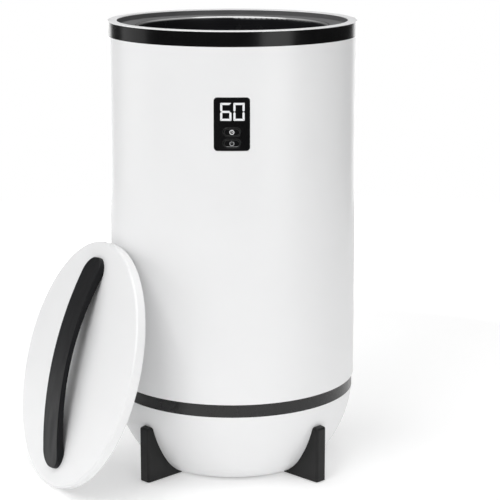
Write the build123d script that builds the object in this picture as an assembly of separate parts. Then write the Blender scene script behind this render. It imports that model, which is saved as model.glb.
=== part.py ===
from build123d import *
import os
from math import cos, radians, sin, sqrt, tan

# Bucket towel warmer: a drawn pot hung in an insulated round body on four fin feet, with a control
# panel at the front and a loose lid that leans against the body.
# Millimetres. Origin on the floor at the body's axis, +Z up, the control panel faces -Y.

os.makedirs("parts", exist_ok=True)

# ---------------------------------------------------------------- driving dimensions
# Clearances
fit_gap = 0.2  # between pieces of one body that plug into each other
running_gap = 0.3  # between pieces that move against each other
bond_gap = 0.05  # a glue line, or a screw's play in its hole

# Body, from the floor up
pad_stand = 1.0  # the rubber pads stand out below the feet
base_clearance = 4.0  # floor to the underside of the bowl
bowl_height = 91.0  # underside of the bowl to its top edge
lower_band_height = 15.8
shell_height = 419.0
rim_band_height = 16.9
lip_thickness = 1.0

# White shell, and the rings that plug into its ends
body_radius = 150.0
shell_wall = 3.0
spigot_wall = 3.0
spigot_depth = 8.0
band_step = 1.7  # the lower band's surface lies this far inside the shell's
band_ledge = 2.0  # thickness of its inner ledge, under the chassis plate
ledge_width = 6.0

# Bowl
bowl_step = 1.5  # its top edge lies this far inside the shell's surface
bowl_wall = 3.0
bowl_draft = 5.0  # degrees that its side leans in at the top edge
bowl_side_inset = 27.7  # where the side turns under: in from the top edge
bowl_turn_height = 17.5  # and up from the underside
bowl_underside_inset = 47.5  # where the turn meets the flat underside: in from the top edge

# Base cover, under the bowl's opening
underside_margin = 7.0  # from the cover's seat to where the underside turns up
cover_land = 10.0  # the bowl's underside laps over the cover by this much
cover_thickness = 1.5
cover_screw_count = 4
vent_count = 12
vent_length = 22.0
vent_width = 4.0
vent_inset = 14.0  # middle of the slots, in from the bowl's opening

# Fin feet
foot_angles = {"front_right": -45, "front_left": -135, "back_left": 135, "back_right": 45}
foot_width = 16.0
foot_proud = 1.0  # the outer face stands out past the shell
foot_height = 68.0
foot_top_run = 16.0  # the top edge climbs over this length
foot_top_rise = 2.0  # by this much
foot_inner_gap = 2.5  # from the base cover's seat
foot_edge = 3.0
foot_screw_inset = 32.5  # in from the foot's outer face
foot_screw_sink = 6.0  # depth of the hole that takes the head
screw_hole_gap = 0.65
boss_wall = 3.5
boss_height = 10.0
chassis_post_angle = 22.5  # degrees about Z from the right side to the first post
pad_length = 22.0
pad_width = 10.0
pad_sink = 1.5
pad_inset = 3.5  # in from the foot's outer face

# Rim
lip_width = 11.0
lip_edge = 0.45
collar_wall = 3.0
collar_shoulder = 1.0  # the collar rests on the shell's top edge with this much
recess_depth = 6.4  # lip to the pot's flange, where the lid's plug goes
shelf_gap = 6.8  # from the pot's wall to the shelf that carries its flange
lip_rib_depth = 5.0

# Pot, and what lies around it
mouth_radius = 114.0
pot_wall = 1.2
pot_floor_round = 14.0
pot_mouth_round = 4.0
floor_pad_thickness = 8.5
chassis_thickness = 2.0
cable_hole_count = 4
cable_hole_radius = 6.0
heater_thickness = 2.0
heater_lift = 40.0  # above the pot's floor
heater_drop = 58.0  # below the pot's flange
heater_seam = 12.0
insulation_gap = 4.0  # from the sleeve to the control panel's housing
insulation_drop = 22.0  # below the pot's flange
thermostat_radius = 9.0
fuse_radius = 3.5
fuse_length = 22.0
sensor_offset = 26.0  # thermostat and fuse, each side of the axis

# Control panel
panel_width = 41.0
panel_height = 61.0
panel_corner = 4.2
panel_drop = 87.3  # the shell's top edge to the panel's middle
lens_proud = 0.2
lens_land = 2.0  # the housing's rim laps behind the lens by this much
housing_margin = 4.0  # the housing is larger than the lens, all round
housing_wall = 2.0
housing_rim = 1.6
post_size = 6.0
board_thickness = 1.6
display_width = 31.0
display_margin = 4.2  # from the panel's top edge
display_gap = 5.3  # from the timer button's flange
button_width = 19.8
button_height = 9.4
button_flange = 1.3
button_flange_thickness = 1.4
button_travel = 0.8
button_rises = {"timer": 21.5, "power": 8.5}  # above the panel's bottom edge
switch_size = 6.0
switch_height = 3.2
plunger_radius = 1.75
plunger_height = 0.5

# Mains board, and the gland that the supply cord comes through
mains_board_length = 96.0
mains_board_width = 66.0
standoff_height = 10.0
standoff_radius = 3.0
standoff_inset = 5.0
transformer_size = (28.0, 26.0, 24.0)
relay_size = (19.0, 16.0, 16.0)
terminal_size = (28.0, 10.0, 11.0)
capacitor_radius = 8.0
capacitor_height = 21.0
component_margin = 12.0  # from the board's ends to its components
component_gap = 4.5
gland_rise = 17.0  # above the shell's bottom edge
gland_radius = 7.0
gland_bore = 3.3
gland_flange = 3.0
gland_flange_thickness = 2.0
gland_nose = 8.0
gland_nose_taper = 1.5
gland_barb = 1.2

# Lid
lid_inset = 1.0  # its edge lies inside the body's
lid_thickness = 12.5
lid_wall = 3.0
lid_edge = 2.5
plug_gap = 1.0  # all round, in the rim's recess
plug_depth = 4.5
plug_wall = 2.0
plug_edge = 1.5
seal_height = 1.6
seal_drop = 0.8  # below the lid's underside
seal_groove = 1.2
seal_lip = 0.7  # the seal stands out past the plug
lid_insulation_gap = 0.5  # under the heads of the handle's screws
lid_lean = 17.7  # degrees back from upright
lid_bearing = -62.5  # degrees about Z from the front to where the lid faces
lid_side_shift = -6.2  # its middle lies beside that line

# Lid handle, a strap bowed across the lid
handle_margin = 20.7  # from its tips to the lid's edge
handle_width = 42.5
handle_rise = 22.5  # top of the strap above the lid
handle_tip_height = 4.0
handle_strap = 5.5  # thickness at the middle
handle_foot = 20.0  # length of each solid end
handle_tip_round = 18.0
handle_edge = 1.2
handle_turn = 7.1  # degrees about the lid's axis
handle_shift = 0.4  # along its own length
handle_screw_inset = 12.5  # from the tips
handle_screw_spacing = 20.0
handle_screw_bite = 5.0

# Screws
screw_radius = 1.95
screw_head_radius = 3.6
screw_head_height = 2.4
screw_bite = 20.0
small_screw_radius = 1.25
small_head_radius = 2.4
small_head_height = 1.3
small_screw_bite = 6.0
panel_screw_bite = 3.0

# ---------------------------------------------------------------- heights and radii that follow
bowl_top = base_clearance + bowl_height
shell_bottom = bowl_top + lower_band_height
shell_top = shell_bottom + shell_height
rim_top = shell_top + rim_band_height
lip_top = rim_top + lip_thickness
pot_ledge = lip_top - recess_depth
shelf_top = pot_ledge - pot_wall
chassis_bottom = bowl_top + band_ledge
chassis_top = chassis_bottom + chassis_thickness
pot_floor = chassis_top + floor_pad_thickness + pot_wall
cover_top = base_clearance + cover_thickness

shell_inner = body_radius - shell_wall
bowl_radius = body_radius - bowl_step
band_radius = body_radius - band_step
plug_in_radius = shell_inner - fit_gap  # spigots inside the shell
bowl_spigot = bowl_radius - bowl_wall - spigot_depth * tan(radians(2 * bowl_draft)) - fit_gap
band_inner = bowl_spigot - spigot_wall
lip_inner = body_radius - lip_width
collar_outer = shell_inner + collar_shoulder
pot_outer = mouth_radius + pot_wall
shelf_inner = pot_outer + shelf_gap
heater_inner = pot_outer + bond_gap
heater_outer = heater_inner + heater_thickness
insulation_inner = heater_outer + bond_gap
cover_seat = bowl_radius - bowl_underside_inset - underside_margin
bowl_opening_radius = cover_seat - cover_land
foot_outer = body_radius + foot_proud
foot_screw_radius = foot_outer - foot_screw_inset
lens_radius = body_radius + lens_proud
screw_hole = screw_radius + bond_gap
small_hole = small_screw_radius + bond_gap

panel_middle = shell_top - panel_drop
panel_top = panel_middle + panel_height / 2
panel_bottom = panel_middle - panel_height / 2
housing_width = panel_width + 2 * housing_margin
housing_height = panel_height + 2 * housing_margin
button_back = -(shell_inner - running_gap - button_flange_thickness)
plunger_tip = button_back + button_travel + fit_gap
switch_front = plunger_tip + plunger_height
board_front = switch_front + switch_height
board_back = board_front + board_thickness
housing_back = board_back + board_thickness
insulation_outer = -housing_back - insulation_gap

lid_radius = body_radius - lid_inset
plug_radius = lip_inner - plug_gap
lid_depth = lid_thickness + plug_depth
handle_length = 2 * (lid_radius - handle_margin)
handle_span = handle_length - 2 * handle_foot


# ---------------------------------------------------------------- shapes used more than once
def turned(*corners):
    """Solid turned about Z from (radius, height) corners; a third number rounds the corner."""
    outline = make_face(Polyline(*[corner[:2] for corner in corners], close=True))
    for corner in corners:
        if len(corner) == 3:
            vertex = outline.vertices().sort_by_distance(corner[:2])[0]
            outline = fillet(vertex, corner[2])
    return revolve(Plane.XZ * outline)


def ring(inner, outer, bottom, top):
    """Plain ring about Z."""
    return turned((inner, bottom), (outer, bottom), (outer, top), (inner, top))


def rod(radius, start, end):
    """Cylinder from one point to another."""
    axis = Vector(end) - Vector(start)
    return Part() + Solid.make_cylinder(radius, axis.length, Plane(Vector(start), z_dir=axis))


def block(low, high):
    """Plain box between two corners."""
    size = Vector(high) - Vector(low)
    return Pos(*low) * Box(*size, align=(Align.MIN, Align.MIN, Align.MIN))


def screw(seat, towards, bite):
    """Cap screw: its head stands on the seat, and its shank goes the given way."""
    head = rod(screw_head_radius, seat - towards * screw_head_height, seat)
    return head + rod(screw_radius, seat, seat + towards * bite)


def small_screw(seat, towards, bite):
    """The same in the size that holds boards and the base cover."""
    head = rod(small_head_radius, seat - towards * small_head_height, seat)
    return head + rod(small_screw_radius, seat, seat + towards * bite)


def around(radius, angle, height=0.0):
    """Point at a radius and an angle about Z."""
    return Vector(radius * cos(radians(angle)), radius * sin(radians(angle)), height)


def group(pieces):
    """Separate solids that share one node."""
    return Compound(children=[solid for piece in pieces for solid in piece.solids()])


UP = Vector(0, 0, 1)
BACK = Vector(0, 1, 0)


# ---------------------------------------------------------------- bowl and what hangs under it
def bowl_form():
    """The bowl's outer form, filled: a side that leans in, a turn, and a flat underside."""
    lean = (-sin(radians(bowl_draft)), -cos(radians(bowl_draft)))
    edge = (bowl_radius, bowl_top)
    turn = (bowl_radius - bowl_side_inset, base_clearance + bowl_turn_height)
    corner = (bowl_radius - bowl_underside_inset, base_clearance)
    side = TangentArc(edge, turn, tangent=lean)
    under = TangentArc(turn, corner, tangent=side % 1)
    rest = Polyline(corner, (0, base_clearance), (0, bowl_top), edge)
    return revolve(Plane.XZ * make_face(side + under + rest))


def foot_screw_seats():
    return [around(foot_screw_radius, angle, pad_stand + foot_screw_sink)
            for angle in foot_angles.values()]


def chassis_screw_seats():
    """On the chassis plate, between the pot's floor pad and the insulation sleeve."""
    radius = (insulation_inner + mouth_radius - pot_floor_round) / 2
    return [around(radius, chassis_post_angle + index * 360 / cable_hole_count, chassis_top)
            for index in range(cable_hole_count)]


def cover_screw_seats():
    radius = (bowl_opening_radius + cover_seat) / 2
    return [around(radius, index * 360 / cover_screw_count, base_clearance)
            for index in range(cover_screw_count)]


def base_bowl():
    """Moulded bowl, with a boss over each foot and a seat for the base cover."""
    form = bowl_form()
    bowl = offset(form, amount=-bowl_wall, openings=form.faces().sort_by(Axis.Z)[-1])
    for seat in foot_screw_seats():
        boss_top = seat + UP * (screw_bite + bond_gap)
        bowl += rod(screw_hole + boss_wall, seat, boss_top) & form
        bowl -= rod(screw_hole, seat, boss_top)
    for seat in chassis_screw_seats():
        foot_of_post = Vector(seat.X, seat.Y, base_clearance)
        post_top = seat - UP * chassis_thickness
        bowl_edge = Vector(seat.X, seat.Y, bowl_top)
        bowl += rod(screw_hole + boss_wall, foot_of_post, bowl_edge) & form
        bowl += rod(screw_hole + boss_wall, bowl_edge, post_top)
        bowl -= rod(screw_hole, post_top - UP * screw_bite, post_top)
    for seat in cover_screw_seats():
        boss_top = seat + UP * (cover_thickness + boss_height)
        bowl += rod(small_hole + boss_wall, seat, boss_top)
        bowl -= rod(small_hole, seat, boss_top)
    bowl -= rod(bowl_opening_radius, (0, 0, 0), (0, 0, base_clearance + bowl_wall))
    return bowl - rod(cover_seat, (0, 0, 0), (0, 0, cover_top))


def standoff_spots():
    across = mains_board_length / 2 - standoff_inset
    along = mains_board_width / 2 - standoff_inset
    return [Vector(x, y, cover_top) for x in (-across, across) for y in (-along, along)]


def base_cover():
    """Round plate with a ring of vent slots, and standoffs for the mains board."""
    cover = rod(cover_seat - fit_gap, (0, 0, base_clearance), (0, 0, cover_top))
    slot = extrude(SlotOverall(vent_length, vent_width), 2 * cover_top)
    vents = PolarLocations(bowl_opening_radius - vent_inset, vent_count, 180 / vent_count)
    cover -= vents * slot
    for seat in cover_screw_seats():
        cover -= rod(small_hole, seat, seat + UP * cover_thickness)
    for spot in standoff_spots():
        cover += rod(standoff_radius, spot, spot + UP * standoff_height)
        cover -= rod(small_hole, spot, spot + UP * standoff_height)
    return cover


def base_cover_screws():
    return group([small_screw(seat, UP, boss_height) for seat in cover_screw_seats()])


def foot_pad(clearance=0.0):
    """Rubber pad set into the underside of a foot that points along +X."""
    length = pad_length + 2 * clearance
    outline = SlotOverall(length, pad_width + 2 * clearance)
    middle = foot_outer - pad_inset - pad_length / 2
    return Pos(middle, 0, 0) * extrude(outline, pad_stand + pad_sink + clearance)


def foot(angle):
    """Fin that follows the bowl, with a sunk screw hole and a pocket for its pad."""
    inner = cover_seat + foot_inner_gap
    top_inner = (foot_outer - foot_top_run, foot_height + foot_top_rise)
    outline = Polyline((inner, pad_stand), (foot_outer, pad_stand), (foot_outer, foot_height),
                       top_inner, (inner, base_clearance + bowl_wall), close=True)
    fin = extrude(Plane.XZ * make_face(outline), foot_width / 2, both=True)
    outer_edges = fin.edges().filter_by(
        lambda edge: edge.center().X > foot_outer - foot_top_run and edge.center().Z > 2 * pad_stand)
    fin = fillet(outer_edges, foot_edge) - foot_pad(bond_gap)
    seat = Vector(foot_screw_radius, 0, pad_stand + foot_screw_sink)
    fin -= rod(screw_head_radius + screw_hole_gap, (foot_screw_radius, 0, 0), seat)
    fin -= rod(screw_hole, seat, seat + UP * screw_bite)
    return Rot(0, 0, angle) * fin - bowl_form()


def foot_screws():
    return group([screw(seat, UP, screw_bite) for seat in foot_screw_seats()])


def foot_pads():
    return group([Rot(0, 0, angle) * foot_pad() for angle in foot_angles.values()])


# ---------------------------------------------------------------- shell and bands
def lower_band():
    """Black ring between bowl and shell, with a spigot each way and a ledge for the chassis."""
    return turned(
        (bowl_spigot, bowl_top - spigot_depth), (bowl_spigot, bowl_top), (band_radius, bowl_top),
        (band_radius, shell_bottom), (plug_in_radius, shell_bottom),
        (plug_in_radius, shell_bottom + spigot_depth),
        (plug_in_radius - spigot_wall, shell_bottom + spigot_depth),
        (plug_in_radius - spigot_wall, shell_bottom), (band_inner, shell_bottom),
        (band_inner, chassis_bottom), (band_inner - ledge_width, chassis_bottom),
        (band_inner - ledge_width, bowl_top), (band_inner, bowl_top),
        (band_inner, bowl_top - spigot_depth))


def panel_block(width, height, corner):
    """Rounded block through the front wall, at the panel's middle."""
    outline = RectangleRounded(width, height, corner)
    solid = extrude(Plane.XZ * outline, body_radius + 2 * shell_wall)
    return Pos(0, 0, panel_middle) * solid


def gland_axis(radius):
    return Vector(0, radius, shell_bottom + gland_rise)


def outer_shell():
    """White sleeve with a window for the panel and a hole for the gland."""
    shell = ring(shell_inner, body_radius, shell_bottom, shell_top)
    window = panel_block(panel_width + 2 * fit_gap, panel_height + 2 * fit_gap, panel_corner)
    shell -= window
    return shell - rod(gland_radius + fit_gap, gland_axis(mouth_radius), gland_axis(foot_outer))


def cord_gland():
    """Bush that grips the shell's wall, with a tapered nose outside; the cord's hole is bare."""
    flange = rod(gland_radius + gland_flange, gland_axis(shell_inner),
                 gland_axis(body_radius + gland_flange_thickness))
    bush = flange - rod(body_radius, (0, 0, 0), (0, 0, shell_top))
    inside = gland_axis(shell_inner - shell_wall)
    bush += rod(gland_radius, inside, gland_axis(body_radius + gland_flange_thickness))
    barb = rod(gland_radius + gland_barb, inside, gland_axis(body_radius))
    bush += barb & rod(shell_inner, (0, 0, 0), (0, 0, shell_top))
    nose_base = gland_axis(body_radius + gland_flange_thickness)
    nose = Cone(gland_radius, gland_radius - gland_nose_taper, gland_nose,
                align=(Align.CENTER, Align.CENTER, Align.MIN))
    bush += Plane(nose_base, z_dir=BACK).location * nose
    return bush - rod(gland_bore, inside, gland_axis(body_radius + 2 * gland_nose))


def rim_band():
    return ring(collar_outer + fit_gap, body_radius, shell_top, rim_top)


def inner_collar():
    """Ring that rests on the shell's edge, carries the pot's flange and guides the lid's plug."""
    outer_inner = collar_outer - collar_wall
    return turned(
        (plug_in_radius, shell_top - spigot_depth), (plug_in_radius, shell_top),
        (collar_outer, shell_top), (collar_outer, rim_top), (outer_inner, rim_top),
        (outer_inner, shelf_top), (lip_inner + collar_wall, shelf_top),
        (lip_inner + collar_wall, rim_top), (lip_inner, rim_top), (lip_inner, shelf_top),
        (shelf_inner, shelf_top), (shelf_inner, shelf_top - collar_wall),
        (plug_in_radius - spigot_wall, shelf_top - collar_wall),
        (plug_in_radius - spigot_wall, shell_top - spigot_depth))


def top_lip_ring():
    """White lip with a rib that drops into the collar's channel."""
    rib_inner = lip_inner + collar_wall + fit_gap
    rib_outer = collar_outer - collar_wall - fit_gap
    return turned(
        (lip_inner, rim_top), (rib_inner, rim_top), (rib_inner, rim_top - lip_rib_depth),
        (rib_outer, rim_top - lip_rib_depth), (rib_outer, rim_top), (body_radius, rim_top),
        (body_radius, lip_top, lip_edge), (lip_inner, lip_top, lip_edge))


# ---------------------------------------------------------------- pot and heater
def inner_liner():
    """Drawn pot whose wide flange hangs on the collar's shelf."""
    return turned(
        (0, pot_floor - pot_wall), (pot_outer, pot_floor - pot_wall, pot_floor_round + pot_wall),
        (pot_outer, shelf_top, pot_mouth_round - pot_wall), (lip_inner - fit_gap, shelf_top),
        (lip_inner - fit_gap, pot_ledge), (mouth_radius, pot_ledge, pot_mouth_round),
        (mouth_radius, pot_floor, pot_floor_round), (0, pot_floor))


def heating_band():
    """Flexible heater round the pot, with a seam at the back."""
    band = ring(heater_inner, heater_outer, pot_floor + heater_lift, pot_ledge - heater_drop)
    half = heater_seam / 2
    return band - block((-half, 0, pot_floor), (half, body_radius, pot_ledge))


def insulation_sleeve():
    return ring(insulation_inner, insulation_outer, chassis_top, pot_ledge - insulation_drop)


def chassis_plate():
    """Plate under the pot, on the lower band's ledge and the bowl's posts, holed for the wires."""
    plate = rod(band_inner - fit_gap, (0, 0, chassis_bottom), (0, 0, chassis_top))
    radius = (insulation_inner + mouth_radius - pot_floor_round) / 2
    for index in range(cable_hole_count):
        hole = around(radius, index * 360 / cable_hole_count, chassis_bottom)
        plate -= rod(cable_hole_radius, hole, hole + UP * chassis_thickness)
    for seat in chassis_screw_seats():
        plate -= rod(screw_hole, seat - UP * chassis_thickness, seat)
    return plate


def chassis_screws():
    return group([screw(seat, -UP, screw_bite) for seat in chassis_screw_seats()])


def thermostat(clearance=0.0):
    """Disc that feels the pot's floor from below."""
    base = Vector(-sensor_offset, 0, chassis_top)
    return rod(thermostat_radius + clearance, base, base + UP * floor_pad_thickness)


def thermal_fuse(clearance=0.0):
    """Small cylinder lying on the chassis plate."""
    radius = fuse_radius + clearance
    middle = Vector(sensor_offset, 0, chassis_top + fuse_radius)
    half = BACK * (fuse_length / 2 + clearance)
    return rod(radius, middle - half, middle + half)


def floor_pad():
    """Stiff insulation between the chassis plate and the pot's floor."""
    pad = rod(mouth_radius - pot_floor_round, (0, 0, chassis_top),
              (0, 0, chassis_top + floor_pad_thickness))
    return pad - thermostat(fit_gap) - thermal_fuse(fit_gap)


# ---------------------------------------------------------------- control panel
def button_form(name, margin):
    """Pill-shaped block through the front wall at one button's height."""
    outline = SlotOverall(button_width + 2 * margin, button_height + 2 * margin)
    solid = extrude(Plane.XZ * outline, body_radius + 2 * shell_wall)
    return Pos(0, 0, panel_bottom + button_rises[name]) * solid


def control_lens():
    """Curved black lens flush with the shell, with a hole for each button."""
    lens = ring(shell_inner, lens_radius, shell_bottom, shell_top)
    lens &= panel_block(panel_width, panel_height, panel_corner)
    for name in button_rises:
        lens -= button_form(name, running_gap)
    return lens


def button(name):
    """Pill with a curved face and a flange that keeps it behind the lens."""
    depth = rod(lens_radius, (0, 0, shell_bottom), (0, 0, shell_top))
    flange_depth = rod(shell_inner - running_gap, (0, 0, shell_bottom), (0, 0, shell_top))
    solid = button_form(name, 0) & depth
    solid += button_form(name, button_flange) & flange_depth
    return solid - block((-body_radius, button_back, 0), (body_radius, 0, shell_top))


def post_spots():
    across = housing_width / 2 - housing_wall - post_size / 2
    up = housing_height / 2 - housing_wall - post_size / 2
    return [Vector(x, 0, panel_middle + z) for x in (-across, across) for z in (-up, up)]


def panel_housing():
    """Frame behind the window: a rim that the lens sits on, walls, and posts for the board."""
    half_width, half_height = housing_width / 2, housing_height / 2
    rim_back = -sqrt(shell_inner**2 - half_width**2) + housing_rim
    frame = block((-half_width, -body_radius, panel_middle - half_height),
                  (half_width, housing_back, panel_middle + half_height))
    frame &= rod(shell_inner, (0, 0, shell_bottom), (0, 0, shell_top))
    inner_width, inner_height = half_width - housing_wall, half_height - housing_wall
    frame -= block((-inner_width, rim_back, panel_middle - inner_height),
                   (inner_width, 0, panel_middle + inner_height))
    frame -= panel_block(panel_width - 2 * lens_land, panel_height - 2 * lens_land,
                         panel_corner - lens_land / 2)
    for spot in post_spots():
        half = Vector(post_size / 2, 0, post_size / 2)
        frame += block(spot - half + BACK * rim_back, spot + half + BACK * board_front)
        frame -= rod(small_hole, spot + BACK * (board_front - panel_screw_bite),
                     spot + BACK * board_front)
    return frame


def display_board():
    half_width = housing_width / 2 - housing_wall - running_gap
    half_height = housing_height / 2 - housing_wall - running_gap
    board = block((-half_width, board_front, panel_middle - half_height),
                  (half_width, board_back, panel_middle + half_height))
    for spot in post_spots():
        board -= rod(small_hole, spot + BACK * board_front, spot + BACK * board_back)
    return board


def panel_screws():
    return group([small_screw(spot + BACK * board_back, -BACK, board_thickness + panel_screw_bite)
                  for spot in post_spots()])


def display_module():
    """Light block behind the lens, for two digits, above the timer button."""
    half_width = display_width / 2
    button_edge = button_rises["timer"] + button_height / 2 + button_flange
    front = -sqrt(shell_inner**2 - half_width**2) + running_gap
    return block((-half_width, front, panel_bottom + button_edge + display_gap),
                 (half_width, board_front, panel_top - display_margin))


def push_switch(name):
    """Small switch on the display board behind one button."""
    middle = panel_bottom + button_rises[name]
    half = switch_size / 2
    body = block((-half, switch_front, middle - half), (half, board_front, middle + half))
    return body + rod(plunger_radius, (0, plunger_tip, middle), (0, switch_front, middle))


# ---------------------------------------------------------------- mains board
def mains_board():
    """Board on the cover's standoffs, with its relay, transformer, capacitor and terminals."""
    bottom = cover_top + standoff_height
    top = bottom + board_thickness
    length, width = mains_board_length, mains_board_width
    board = block((-length / 2, -width / 2, bottom), (length / 2, width / 2, top))
    left, front = -length / 2 + component_margin, -width / 2 + component_margin
    transformer = Vector(left, front, top)
    board += block(transformer, transformer + Vector(transformer_size))
    relay = transformer + Vector(transformer_size[0] + 2 * component_gap, 0, 0)
    board += block(relay, relay + Vector(relay_size))
    terminals = transformer + Vector(0, transformer_size[1] + component_gap, 0)
    board += block(terminals, terminals + Vector(terminal_size))
    beyond_relay = relay_size[1] + component_gap + capacitor_radius
    capacitor = relay + Vector(relay_size[0] / 2, beyond_relay, 0)
    board += rod(capacitor_radius, capacitor, capacitor + UP * capacitor_height)
    for spot in standoff_spots():
        board -= rod(small_hole, (spot.X, spot.Y, bottom), (spot.X, spot.Y, top))
    return board


def mains_board_screws():
    lift = UP * (standoff_height + board_thickness)
    return group([small_screw(spot + lift, -UP, small_screw_bite) for spot in standoff_spots()])


# ---------------------------------------------------------------- lid, drawn lying face up at Z 0
def lid_cover():
    """White outer shell of the lid, with holes for the handle's screws."""
    inner = lid_radius - lid_wall
    cover = turned(
        (0, -lid_wall), (inner, -lid_wall), (inner, -lid_thickness),
        (lid_radius, -lid_thickness, lid_edge), (lid_radius, 0, lid_edge), (0, 0))
    for seat in handle_screw_seats():
        cover -= rod(screw_hole, seat, seat + UP * lid_wall)
    return cover


def lid_under_cover():
    """Underside of the lid, with the plug that drops into the rim."""
    plug_inner = plug_radius - plug_wall
    cover = turned(
        (0, -lid_depth), (plug_radius, -lid_depth, plug_edge), (plug_radius, -lid_thickness),
        (lid_radius - lid_wall - fit_gap, -lid_thickness),
        (lid_radius - lid_wall - fit_gap, -lid_thickness + plug_wall),
        (plug_inner, -lid_thickness + plug_wall), (plug_inner, -lid_depth + plug_wall),
        (0, -lid_depth + plug_wall))
    top = -lid_thickness - seal_drop
    return cover - ring(plug_radius - seal_groove, plug_radius + plug_gap, top - seal_height, top)


def lid_seal():
    top = -lid_thickness - seal_drop - bond_gap
    return ring(plug_radius - seal_groove + bond_gap, plug_radius + seal_lip,
                top - seal_height + 2 * bond_gap, top)


def lid_insulation():
    bottom = -lid_depth + plug_wall
    top = -lid_wall - screw_head_height - lid_insulation_gap
    return rod(plug_radius - plug_wall - fit_gap, (0, 0, bottom), (0, 0, top))


def handle_place():
    return Rot(0, 0, handle_turn) * Pos(0, handle_shift, 0)


def handle_screw_seats():
    """Where the screw heads sit, under the lid's face."""
    along = handle_length / 2 - handle_screw_inset
    across = handle_screw_spacing / 2
    return [(handle_place() * Pos(x, y, -lid_wall)).position
            for x in (-across, across) for y in (-along, along)]


def bow(span, foot, top):
    """Thick round bar under the handle, its skin at the height foot at the span's ends."""
    rise = top - foot
    radius = (span ** 2 / 4 + rise ** 2) / (2 * rise)
    return extrude(Plane.YZ * Pos(0, top - radius) * Circle(radius), handle_width, both=True)


def lid_handle():
    """Strap bowed over the lid, with solid ends and rounded tips."""
    plan = RectangleRounded(handle_width, handle_length, handle_tip_round)
    strap = extrude(plan, 2 * handle_rise) & bow(handle_length, handle_tip_height, handle_rise)
    crown = strap.faces().sort_by_distance((0, 0, handle_rise))[0]
    strap = fillet(crown.edges(), handle_edge)
    strap = handle_place() * (strap - bow(handle_span, 0, handle_rise - handle_strap))
    for seat in handle_screw_seats():
        strap -= rod(screw_hole, seat, seat + UP * (lid_wall + handle_screw_bite))
    return strap


def handle_screws():
    return group([screw(seat, UP, lid_wall + handle_screw_bite) for seat in handle_screw_seats()])


def lid_place():
    """The lid stands on its edge on the floor and its plug's edge leans on the shell."""
    lean, bearing = radians(lid_lean), radians(lid_bearing)
    away = Vector(sin(bearing), -cos(bearing), 0)
    beside = UP.cross(away)
    reach = (body_radius + running_gap + plug_edge + cos(lean) * (lid_depth - plug_edge)
             + sin(lean) * (plug_radius - plug_edge))
    height = (lid_edge + sin(lean) * (lid_thickness - lid_edge)
              + cos(lean) * (lid_radius - lid_edge))
    middle = away * reach + beside * lid_side_shift + UP * height
    return Plane(middle, x_dir=beside, z_dir=away * cos(lean) + UP * sin(lean)).location


# ---------------------------------------------------------------- all pieces, by node name
def pieces():
    nodes = {
        "outer_shell": outer_shell(),
        "rim_band": rim_band(),
        "top_lip_ring": top_lip_ring(),
        "inner_collar": inner_collar(),
        "inner_liner": inner_liner(),
        "heating_band": heating_band(),
        "insulation_sleeve": insulation_sleeve(),
        "floor_pad": floor_pad(),
        "thermostat": thermostat(),
        "thermal_fuse": thermal_fuse(),
        "chassis_plate": chassis_plate(),
        "chassis_screws": chassis_screws(),
        "lower_band": lower_band(),
        "base_bowl": base_bowl(),
        "base_cover": base_cover(),
        "base_cover_screws": base_cover_screws(),
        "foot_screws": foot_screws(),
        "foot_pads": foot_pads(),
        "mains_board": mains_board(),
        "mains_board_screws": mains_board_screws(),
        "cord_gland": cord_gland(),
        "control_lens": control_lens(),
        "panel_housing": panel_housing(),
        "display_board": display_board(),
        "display_module": display_module(),
        "panel_screws": panel_screws(),
    }
    for name, angle in foot_angles.items():
        nodes[f"foot_{name}"] = foot(angle)
    for name in button_rises:
        nodes[f"{name}_button"] = button(name)
        nodes[f"{name}_switch"] = push_switch(name)
    lid = {
        "lid_cover": lid_cover(),
        "lid_under_cover": lid_under_cover(),
        "lid_seal": lid_seal(),
        "lid_insulation": lid_insulation(),
        "lid_handle": lid_handle(),
        "handle_screws": handle_screws(),
    }
    for name, piece in lid.items():
        nodes[name] = lid_place() * piece
    return nodes


for node, piece in pieces().items():
    export_step(piece, f"parts/{node}.step")
    print(node)
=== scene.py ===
# %% [markdown]
# # A bucket towel warmer, dressed for a studio picture
#
# The object is a tall round bucket with a heated pot inside, four black fin feet, a small control
# panel and a loose lid that leans against its side. Its shapes come from a CAD model, so this
# notebook doesn't move or change them. It adds what CAD leaves out: the finishes, the printed
# marks and the small rounded edges, and then the floor, the lamps and the camera.
#
# Every length is in metres. The origin is on the floor at the bucket's axis, +Z is up, and the
# control panel faces -Y.

# %% Load the CAD model as a fixed frame
import math

import bmesh
import bpy
from mathutils import Matrix, Vector


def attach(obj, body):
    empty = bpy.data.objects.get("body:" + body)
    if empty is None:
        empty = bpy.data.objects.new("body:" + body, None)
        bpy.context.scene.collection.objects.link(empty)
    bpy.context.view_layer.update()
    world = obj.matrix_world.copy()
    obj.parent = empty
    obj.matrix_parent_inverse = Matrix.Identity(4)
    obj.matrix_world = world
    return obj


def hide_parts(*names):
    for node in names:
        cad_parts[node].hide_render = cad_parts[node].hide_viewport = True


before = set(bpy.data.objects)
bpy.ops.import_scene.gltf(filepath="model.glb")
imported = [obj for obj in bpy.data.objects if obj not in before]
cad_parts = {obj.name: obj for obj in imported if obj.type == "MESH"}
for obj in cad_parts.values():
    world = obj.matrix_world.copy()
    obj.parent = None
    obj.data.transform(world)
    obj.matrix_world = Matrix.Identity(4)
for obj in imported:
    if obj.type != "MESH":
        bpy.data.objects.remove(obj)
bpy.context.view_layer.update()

# %% [markdown]
# ## The camera
#
# A product shot is taken from far away with a long lens, so the sides of the bucket stay nearly
# parallel. Looking down a little shows the rim and the mouth. Looking down also makes upright
# lines lean together, and a small vertical shift of the lens takes part of that away again,
# because the camera then tilts less. A large shift would straighten the lines fully, but it
# would push the object out of the frame when the camera moves to another side. The Standard view
# transform shows each colour as it is written, which suits a plain white product shot.

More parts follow.
